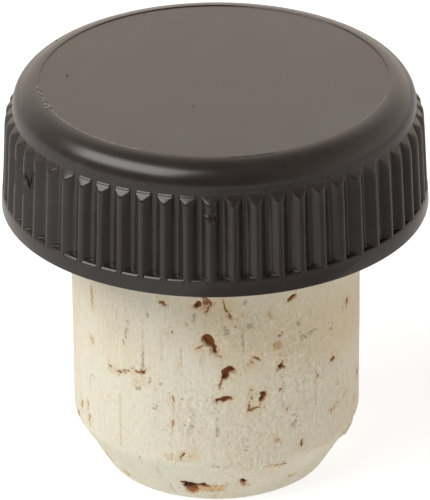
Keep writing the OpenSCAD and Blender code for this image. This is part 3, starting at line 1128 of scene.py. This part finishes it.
LINES = marks({
    0.01: [
        [(-63.9, 6.53, 0.05), (-62.2, 4.23, 0.05)], [(-41.4, 8.22, 0.05), (-41.5, 4.27, 0.06)],
        [(-36.5, 14.49, 0.06), (-37.1, 13.42, 0.05), (-39.2, 12.26, 0.06)],
        [(-29.5, 14.53, 0.05), (-30.0, 12.73, 0.06), (-29.9, 10.88, 0.06)],
        [(-24.6, 4.55, 0.05), (-25.9, 1.52, 0.05)], [(-22.3, 13.93, 0.05), (-21.9, 11.72, 0.05)],
        [(-21.7, 1.74, 0.05), (-21.7, 0.6, 0.05)],
        [(-17.2, 9.1, 0.06), (-17.6, 7.95, 0.07), (-18.2, 4.47, 0.05)],
        [(-13.7, 12.84, 0.05), (-14.4, 10.74, 0.05)], [(-9.2, 8.29, 0.05), (-9.6, 6.48, 0.05)],
        [(-5.8, 12.36, 0.06), (-5.1, 10.35, 0.05)],
        [(0.6, 8.35, 0.06), (0.4, 7.44, 0.05), (-1.0, 5.94, 0.06)],
        [(2.1, 12.22, 0.06), (2.0, 10.43, 0.05)], [(10.2, 14.35, 0.07), (10.0, 12.72, 0.06)],
        [(19.8, 11.13, 0.05), (20.1, 9.77, 0.05)], [(26.8, 10.11, 0.05), (26.6, 8.02, 0.05)],
        [(43.0, 9.35, 0.05), (42.8, 7.1, 0.05)], [(118.0, 15.0, 0.05), (118.6, 9.0, 0.06)],
        [(152.0, 11.0, 0.05), (151.0, 5.0, 0.06)], [(183.0, 17.0, 0.05), (184.0, 11.0, 0.06)],
        [(214.0, 9.0, 0.05), (213.0, 4.5, 0.06)], [(243.0, 16.0, 0.05), (242.6, 8.0, 0.06)],
    ],
})
print(f"{len(GREY)} grey marks and {len(LINES)} faint lines")

# %% The chip in the lead-in, its dents, and a flake that stands out
# The chip is dark inside and torn on its floor, with red-brown painted light where light
# reaches in and a nearly black painted shadow under its lip.
CHIP_DARK = marks({
    0.24: [
        [(-14.3, 1.7, 0.2), (-12.0, 1.6, 0.28), (-9.9, 1.62, 0.22)],
        [(-13.6, 1.25, 0.22), (-11.0, 1.2, 0.28)],
    ],
})
# Painted shadow, nearly black, under the lip of the chip and of a pit beside it.
LIP_SHADE = marks({
    0.12: [[(-14.2, 1.5, 0.24), (-12.8, 1.32, 0.3), (-11.0, 1.44, 0.26)]],
    0.08: [[(-11.3, 1.75, 0.19), (-9.2, 1.72, 0.17), (-7.6, 1.76, 0.15), (-5.9, 1.84, 0.17)]],
    0.06: [
        [(-16.4, 1.94, 0.06), (-15.4, 1.9, 0.12), (-14.4, 1.84, 0.2), (-11.3, 1.76, 0.2)],
        [(-6.8, 1.68, 0.16), (-5.4, 1.7, 0.15), (-4.0, 1.62, 0.11), (-2.5, 1.52, 0.08)],
    ],
    0.05: [[(11.3, 2.05, 0.09), (12.0, 2.0, 0.1)]],
    0.03: [
        [(-2.5, 1.52, 0.07), (-0.4, 1.56, 0.06)], [(4.0, 1.8, 0.07)],
    ],
})
# Painted light: the red-brown where light reaches into the chip's hollow.
CHIP_PAINTED_LIGHT = marks({
    0.18: [[(-13.4, 0.94, 0.15), (-12.0, 0.84, 0.18), (-9.8, 1.04, 0.19)]],
    0.1: [[(-8.4, 1.5, 0.14), (-4.2, 1.42, 0.12), (-0.4, 1.5, 0.08), (2.4, 1.6, 0.07)]],
})
CHIP_FLOOR = marks({
    0.12: [[(-8.2, 1.3, 0.3), (-4.0, 1.28, 0.3), (0.0, 1.25, 0.26), (2.6, 1.28, 0.24)]],
    0.06: [[(-15.2, 1.05, 0.08), (-14.6, 0.75, 0.1), (-12.8, 0.68, 0.12), (-9.6, 0.95, 0.14)]],
})
DENTS = marks({
    0.12: [[(-76.0, 2.2, 0.55), (-68.0, 2.1, 0.6), (-62.0, 1.9, 0.4)]],
    0.1: [[(61.0, 3.35, 0.2), (70.0, 3.25, 0.24), (94.0, 3.2, 0.24)]],
    0.06: [[(64.0, 1.75, 0.22), (92.0, 1.7, 0.25)]],
})
FLAKES = marks({
    0.19: [[(67.0, 2.88, 0.05), (71.5, 2.8, 0.11), (90.0, 2.76, 0.12)]],
    0.09: [[(68.0, 2.5, 0.1), (74.0, 2.48, 0.18), (92.0, 2.46, 0.2)]],
})
KINDS = (PITS, BROWN, RUST, TAN, GREY, LINES, CHIP_DARK, LIP_SHADE, CHIP_PAINTED_LIGHT, CHIP_FLOOR)
print(f"{sum(len(kind) for kind in KINDS)} marks face the camera")

# %% [markdown]
# The back of the cork gets marks of the same kinds at random places, because a punched cork
# looks much the same all the way round. The draws start from a fixed seed, so that the cork
# comes out the same each time.

# %% Marks round the back
# Each kind comes with how often, its depth, how wide it is and how steeply it may run.
BACK_KINDS = (
    (PITS, 2, 0.3, 1.6, 0.3),
    (BROWN, 5, 0.05, 1.0, 1.0),
    (RUST, 1, 0.0, 1.0, 1.0),
    (TAN, 3, 0.0, 1.6, 1.0),
    (GREY, 5, 0.03, 1.0, 1.0),
)
BACK_MARKS = 90
LEAST_WIDTH = 0.045

chance = random.Random(19)
how_often = [often for _, often, _, _, _ in BACK_KINDS]
for i in range(BACK_MARKS):
    kind, _, depth, wide, steep = chance.choices(BACK_KINDS, how_often)[0]
    turn, height = chance.uniform(84, 278), chance.uniform(0.6, 18.6)
    width = LEAST_WIDTH * math.exp(chance.uniform(0, 1.5)) * wide
    run, rise = chance.uniform(-4, 4), chance.uniform(-1.0, 1.0) * steep
    kind.append((depth, [
        (turn, height, width),
        (turn + run * 0.5, height + rise * 0.6, width * chance.uniform(0.6, 1.1)),
        (turn + run, height + rise, width * 0.5),
    ]))
print(f"{BACK_MARKS} marks stand round the back")

# %% [markdown]
# Marks as narrow as a tenth of a millimetre need finer faces than the shank has. Finer faces
# all over would be millions, so only those that a mark touches are divided, twice where it
# also sinks. Each kind of mark is stored on the points as a value of its own, and so are three
# broad fields: where the speckle is strong, where the cork is warmer, and the halo that stains
# it round a pore.

# %% The kinds that are stored, and the broad fields
# The chip's painted light and the painted shadow under lips are stored here as kinds of their own.
MARK_KINDS = {
    "dark": PITS + CHIP_DARK, "glow": CHIP_PAINTED_LIGHT, "brown": BROWN, "rust": RUST, "tan": TAN,
    "grey": GREY, "torn": CHIP_FLOOR, "edge": LIP_SHADE, "line": LINES,
}
FLAT_KINDS = ("tan", "rust", "line")
SPECKLED = marks({
    0.0: [
        [(-32.0, 9.6, 0.5)], [(-8.0, 9.0, 1.2), (-10.0, 7.0, 1.4)], [(10.0, 14.0, 1.4)],
        [(13.0, 6.0, 2.2), (14.0, 4.2, 1.6)], [(30.0, 13.5, 1.6), (38.0, 8.0, 2.2)],
        [(120.0, 9.0, 2.5), (135.0, 6.0, 2.0)], [(190.0, 12.0, 2.5), (200.0, 7.0, 2.0)],
        [(250.0, 14.0, 2.0)],
    ],
})
WARM = marks({
    0.0: [[(-3.0, 15.6, 1.6), (8.0, 14.0, 2.2), (45.0, 13.0, 2.4), (75.0, 12.0, 2.0)]],
})
HALO_REACH, HALO_GROWTH = 0.28, 1.2
HALO_LEAST = 0.045
HALOS = [
    (0.0, [(turn, height, width * HALO_GROWTH + HALO_REACH) for turn, height, width in points])
    for _, points in PITS + BROWN + RUST + CHIP_DARK + LIP_SHADE
    if max(width for _, _, width in points) > HALO_LEAST
]
print(f"{len(HALOS)} marks have a halo")

# %% Finer faces near the marks
SIDE_REACH = FOOT_REACH - 0.2
NEAR_MARK = (0.02, 0.1)
NEAR_FLAKE = 0.2

for level, least in enumerate(NEAR_MARK):
    turns, heights, reaches = surface_places(cork)
    close = stroke_field(turns, heights, FLAKES, cork_r)[0] > NEAR_FLAKE
    for name, strokes in MARK_KINDS.items():
        if level == 0 or name not in FLAT_KINDS:
            close |= stroke_field(turns, heights, strokes, cork_r)[0] > least
    close &= (reaches > SIDE_REACH) & (heights < rim_z)
    finer_faces(cork, close, 1, spread=False)

# %% How near each point lies to each kind of mark, along edges that wander
# Without a seed of its own, noise_vector would start from the clock.
WANDER = 0.09
WANDER_SEED = 3

turns, heights, reaches = surface_places(cork)
places = points_of(cork)
on_side = reaches > SIDE_REACH
noise.seed_set(WANDER_SEED)
wobble = np.array([noise.noise_vector(Vector(p) * 3.1) for p in places])
turns_off = turns + wobble[:, 0] * WANDER / (math.radians(1) * cork_r)
heights_off = heights + wobble[:, 2] * WANDER
fields, sunk = {}, {}
for name, strokes in MARK_KINDS.items():
    fields[name], sunk[name] = stroke_field(turns_off, heights_off, strokes, cork_r)
    fields[name] *= on_side
fields["speckled"], _ = stroke_field(turns_off, heights_off, SPECKLED, cork_r)
fields["warm"], _ = stroke_field(turns, heights, WARM, cork_r)
fields["halo"], _ = stroke_field(turns_off, heights_off, HALOS, cork_r)
print("points in each field:", {name: int((field > 0.5).sum()) for name, field in fields.items()})

# %% Sink the marks and the grain into the cork, and store the fields
GRAIN = 0.006
BROAD = 0.02
DEEPEST = 1.0

grain = np.array([
    noise.noise(Vector((p[0] * 2.6, p[1] * 2.6, p[2] * 0.5)))
    + 0.5 * noise.noise(Vector((p[0] * 6.0, p[1] * 6.0, p[2] * 2.0)))
    for p in places
])
broad = np.array([noise.noise(Vector(p) * 0.35) for p in places])
below_cap = np.clip((rim_z + 0.1 - heights) / 0.3, 0, 1)
depth = (GRAIN + GRAIN * grain + BROAD * (broad + 1)) * below_cap
for kind_sunk in sunk.values():
    depth = np.maximum(depth, kind_sunk * on_side + depth)
depth += stroke_field(turns_off, heights_off, DENTS, cork_r)[1] * on_side
flakes = stroke_field(turns_off, heights_off, FLAKES, cork_r)[1]
push_along_normals(cork, flakes * on_side, 0.3)
push_along_normals(cork, depth, -DEEPEST)
for name, field in fields.items():
    layer = cork.data.attributes.new(name, "FLOAT", "POINT")
    layer.data.foreach_set("value", field)
print(f"deepest mark {depth.max():.2f} mm; the cork has {len(cork.data.polygons)} faces")

# %% Shrink the cork to metres and put it in the frame
bpy.ops.object.shade_smooth_by_angle(angle=math.radians(60))
to_metres(cork)
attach(cork, "root")
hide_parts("cork")
print("the cork measures", [round(v / MM, 2) for v in cork.dimensions], "mm")

# %% [markdown]
# ## The finishes
#
# A finish could be wrapped round a piece as a picture, but a picture needs a file and has a
# seam. Both finishes are built from noise on the object's own coordinates, in millimetres, and
# on the cork also from the marks that were stored on its points. A stored mark fades evenly
# from its line outwards, so noise added to it before a sharp cut gives each stain a ragged
# edge.

# %% Helpers for finishes
def millimetres(tree, stretch=(1.0, 1.0, 1.0)):
    """The object's own coordinates in millimetres, stretched along each axis."""
    coordinates = node(tree, "ShaderNodeTexCoord").outputs["Object"]
    scaled = node(tree, "ShaderNodeVectorMath", operation="MULTIPLY")
    tree.links.new(coordinates, scaled.inputs[0])
    scaled.inputs[1].default_value = [s / MM for s in stretch]
    return scaled.outputs["Vector"]


def grain_noise(tree, place, scale, detail=3.0, roughness=0.55, twist=0.0):
    """A noise texture's value, from 0 to 1."""
    made = node(tree, "ShaderNodeTexNoise", normalize=True)
    tree.links.new(place, made.inputs["Vector"])
    set_values(made, {
        "Scale": scale, "Detail": detail, "Roughness": roughness, "Distortion": twist,
    })
    return made.outputs["Fac"]


def stored(tree, name):
    """A value that is stored on the points of the mesh."""
    return node(tree, "ShaderNodeAttribute", attribute_name=name).outputs["Fac"]


def between(tree, value, low, high):
    """0 below low, 1 above high, and a smooth change between them."""
    made = node(tree, "ShaderNodeMapRange", interpolation_type="SMOOTHSTEP")
    tree.links.new(value, made.inputs["Value"])
    set_values(made, {"From Min": low, "From Max": high})
    return made.outputs["Result"]


def roughened(tree, value, by, amount):
    """A value with some of a noise added, which is 0 on the whole."""
    return plus(tree, value, times(tree, minus(tree, by, 0.5), amount))


def thin_line(tree, value, width):
    """1 where a noise passes through its middle, 0 a little way off."""
    off = maths(tree, "ABSOLUTE", minus(tree, value, 0.5))
    return minus(tree, 1.0, between(tree, off, 0.0, width))


# %% Helpers that lay one colour over another, and raise a relief
def blend_colours(tree, share, first, second):
    """Mixes two colours by a share. Each is three numbers or another node's output."""
    made = node(tree, "ShaderNodeMix", data_type="RGBA")
    tree.links.new(share, made.inputs["Factor"])
    for socket, colour in ((made.inputs[6], first), (made.inputs[7], second)):
        if isinstance(colour, tuple):
            socket.default_value = (*colour, 1.0)
        else:
            tree.links.new(colour, socket)
    return made.outputs[2]


def lay_over(tree, ground, colour, cover, strength):
    """Lays a colour over a ground where it covers, at a strength that lets the ground through."""
    return blend_colours(tree, times(tree, cover, strength), ground, colour)


def raise_relief(tree, shader, relief, strength, height):
    """Gives a shader a bump from a relief. The height is in millimetres."""
    bump = node(tree, "ShaderNodeBump")
    set_values(bump, {"Strength": strength, "Distance": height * MM})
    tree.links.new(relief, bump.inputs["Height"])
    tree.links.new(bump.outputs["Normal"], shader.inputs["Normal"])


# %% [markdown]
# ### Natural cork
#
# Washed cork is pale cream. It has a fine upright grain, a grey speckle that comes and goes,
# and brown, rusty and grey marks round the pores. The open pores are dark red-brown inside.
# One noise would look like clouds, so each of these is a layer of its own, laid over the ones
# before, and the noises are stretched upwards where they stand for grain.

# %% The cork's ground colour
CREAM = (0.67, 0.632, 0.505)
WARM_CREAM = (0.65, 0.585, 0.44)
PALE = (0.78, 0.745, 0.645)
WARM_TAN = (0.60, 0.48, 0.31)

cork_finish, tree, shader = new_finish("natural_cork")
place = millimetres(tree)
upright = millimetres(tree, (1.0, 1.0, 0.16))
clouds = grain_noise(tree, millimetres(tree, (1.0, 1.0, 0.35)), 0.28, 2.0)
streaks = grain_noise(tree, upright, 1.6, 4.0, 0.6)
fine_streaks = grain_noise(tree, upright, 6.0, 2.0, 0.6)
ground = blend_colours(tree, between(tree, clouds, 0.35, 0.68), CREAM, WARM_CREAM)
ground = lay_over(tree, ground, WARM_CREAM, between(tree, streaks, 0.5, 0.75), 0.35)
ground = lay_over(tree, ground, PALE, between(tree, fine_streaks, 0.5, 0.72), 0.35)
ground = lay_over(tree, ground, WARM_TAN, between(tree, stored(tree, "warm"), 0.0, 0.9), 0.65)
print(f"ground colour: {len(tree.nodes)} nodes")

# %% Hairlines along the grain, here and there
HAIRLINE = (0.36, 0.30, 0.19)

hairs = grain_noise(tree, millimetres(tree, (1.0, 1.0, 0.07)), 1.5, 3.0, 0.5, 0.4)
here_and_there = between(tree, grain_noise(tree, place, 0.55, 2.0), 0.42, 0.66)
hair_cover = times(tree, thin_line(tree, hairs, 0.012), here_and_there)
ground = lay_over(tree, ground, HAIRLINE, hair_cover, 0.42)
print(f"with hairlines: {len(tree.nodes)} nodes")

# %% The grey speckle and squiggles, strongest where they are stored on the points
SPECK_GREY = (0.40, 0.385, 0.305)

speckle = grain_noise(tree, millimetres(tree, (1.0, 1.0, 0.6)), 5.0, 3.0, 0.6, 0.6)
squiggle = grain_noise(tree, millimetres(tree, (1.0, 1.0, 0.45)), 2.6, 3.0, 0.55, 1.2)
speckled = stored(tree, "speckled")
grey_specks = between(tree, speckle, 0.55, 0.66)
pale_specks = between(tree, minus(tree, 1.0, speckle), 0.55, 0.66)
squiggles = thin_line(tree, squiggle, 0.02)
for cover, colour, extra, always in (
    (grey_specks, SPECK_GREY, 0.45, 0.22),
    (squiggles, SPECK_GREY, 0.55, 0.10),
    (pale_specks, PALE, 0.5, 0.2),
):
    strength = plus(tree, times(tree, speckled, extra), always)
    ground = lay_over(tree, ground, colour, cover, strength)
print(f"with speckle: {len(tree.nodes)} nodes")

# %% Warm halos round the pores, and freckles
HALO_TAN = (0.62, 0.44, 0.24)
FRECKLE = (0.30, 0.15, 0.065)

patchy = grain_noise(tree, place, 2.4, 4.0, 0.65, 0.5)
halo = stored(tree, "halo")
halo_cover = between(tree, roughened(tree, halo, patchy, 2.4), 0.42, 0.95)
ground = lay_over(tree, ground, HALO_TAN, halo_cover, 0.45)
freckles = grain_noise(tree, millimetres(tree, (1.0, 1.0, 0.7)), 4.2, 3.0, 0.6)
freckles = plus(tree, freckles, times(tree, halo, 0.13))
ground = lay_over(tree, ground, FRECKLE, between(tree, freckles, 0.69, 0.76), 0.75)
print(f"with halos: {len(tree.nodes)} nodes")

# %% The stains and pores, each kind over the one before
# Each has its name, colour, raggedness, softness of edge, and strength.
STAINS = (
    ("line", (0.43, 0.37, 0.26), 0.9, 0.9, 0.5),
    ("tan", (0.60, 0.46, 0.27), 2.2, 0.7, 0.5),
    ("rust", (0.46, 0.26, 0.145), 2.0, 0.6, 0.7),
    ("grey", (0.29, 0.27, 0.195), 2.0, 0.3, 0.66),
    ("torn", (0.60, 0.36, 0.15), 0.9, 0.3, 0.9),
    ("brown", (0.24, 0.10, 0.034), 1.5, 0.4, 0.92),
    # glow is painted light: the red-brown where light reaches into the chip.
    ("glow", (0.34, 0.13, 0.035), 1.0, 0.4, 0.95),
    ("dark", (0.27, 0.092, 0.032), 0.8, 0.25, 1.0),
    # The last kind is painted shadow, nearly black, under the lips of the chip and a pit.
    ("edge", (0.07, 0.024, 0.006), 0.5, 0.35, 1.0),
)
FIBRE = (0.80, 0.62, 0.40)

ragged = grain_noise(tree, place, 5.5, 4.0, 0.65)
for name, colour, raggedness, softness, strength in STAINS:
    stain = roughened(tree, stored(tree, name), ragged, raggedness)
    cover = between(tree, stain, 0.5 - softness / 2, 0.5 + softness / 2)
    ground = lay_over(tree, ground, colour, cover, strength)
    if name == "torn":
        fibres = grain_noise(tree, millimetres(tree, (1.0, 1.0, 0.12)), 9.0, 2.0)
        fibres = times(tree, between(tree, fibres, 0.42, 0.62), 0.6)
        ground = lay_over(tree, ground, FIBRE, fibres, cover)
tree.links.new(ground, shader.inputs["Base Color"])
print(f"with stains: {len(tree.nodes)} nodes")

# %% The cork's surface
set_values(shader, {"Roughness": 0.78, "IOR": 1.38})
relief = plus(tree, times(tree, speckle, 0.8), fine_streaks)
relief = plus(tree, relief, times(tree, squiggle, 0.8))
raise_relief(tree, shader, relief, 0.7, 0.04)
cork.data.materials.append(cork_finish)
print(f"cork finish: {len(tree.nodes)} nodes")

# %% [markdown]
# ### Moulded plastic
#
# The cap is near-black plastic with a satin skin. Plain black with one gloss would look like a
# drawing, so the gloss varies a little from place to place, a thin dust greys it, and a faint
# waviness from the mould breaks up the reflections on its flat top.

# %% The cap's plastic
BLACK = (0.0205, 0.0162, 0.0148)
DUSTY = (0.040, 0.039, 0.031)
DUST_AND_HIGHLIGHT_GREY = (0.26, 0.25, 0.23)

cap_finish, tree, shader = new_finish("cap_plastic")
place = millimetres(tree)
cloudy = grain_noise(tree, place, 0.22, 3.0, 0.6)
dust = grain_noise(tree, place, 3.2, 4.0, 0.7)
dust_share = times(tree, between(tree, dust, 0.58, 0.75), 0.35)
dust_share = plus(tree, dust_share, times(tree, between(tree, cloudy, 0.4, 0.7), 0.3))
skin = blend_colours(tree, dust_share, BLACK, DUSTY)
# Pale crumbs and flash are grey dust, which also paints the highlights on their lit tops and a
# highlight line along the step.
skin = lay_over(tree, skin, DUST_AND_HIGHLIGHT_GREY, stored(tree, "dust_and_highlight"), 0.8)
tree.links.new(skin, shader.inputs["Base Color"])
gloss = plus(tree, times(tree, grain_noise(tree, place, 0.9, 4.0), 0.10), 0.20)
tree.links.new(gloss, shader.inputs["Roughness"])
set_values(shader, {"IOR": 1.48})
wave = grain_noise(tree, place, 0.7, 2.0)
pebble = grain_noise(tree, place, 7.0, 2.0)
raise_relief(tree, shader, plus(tree, wave, times(tree, pebble, 0.06)), 0.3, 0.02)
cap.data.materials.append(cap_finish)
print(f"cap finish: {len(tree.nodes)} nodes")

# %% [markdown]
# ## The end
#
# The view settings stay plain, so that the colours are those of the finishes.

# %% The plain view settings and the end
bpy.context.scene.view_settings.view_transform = "Standard"
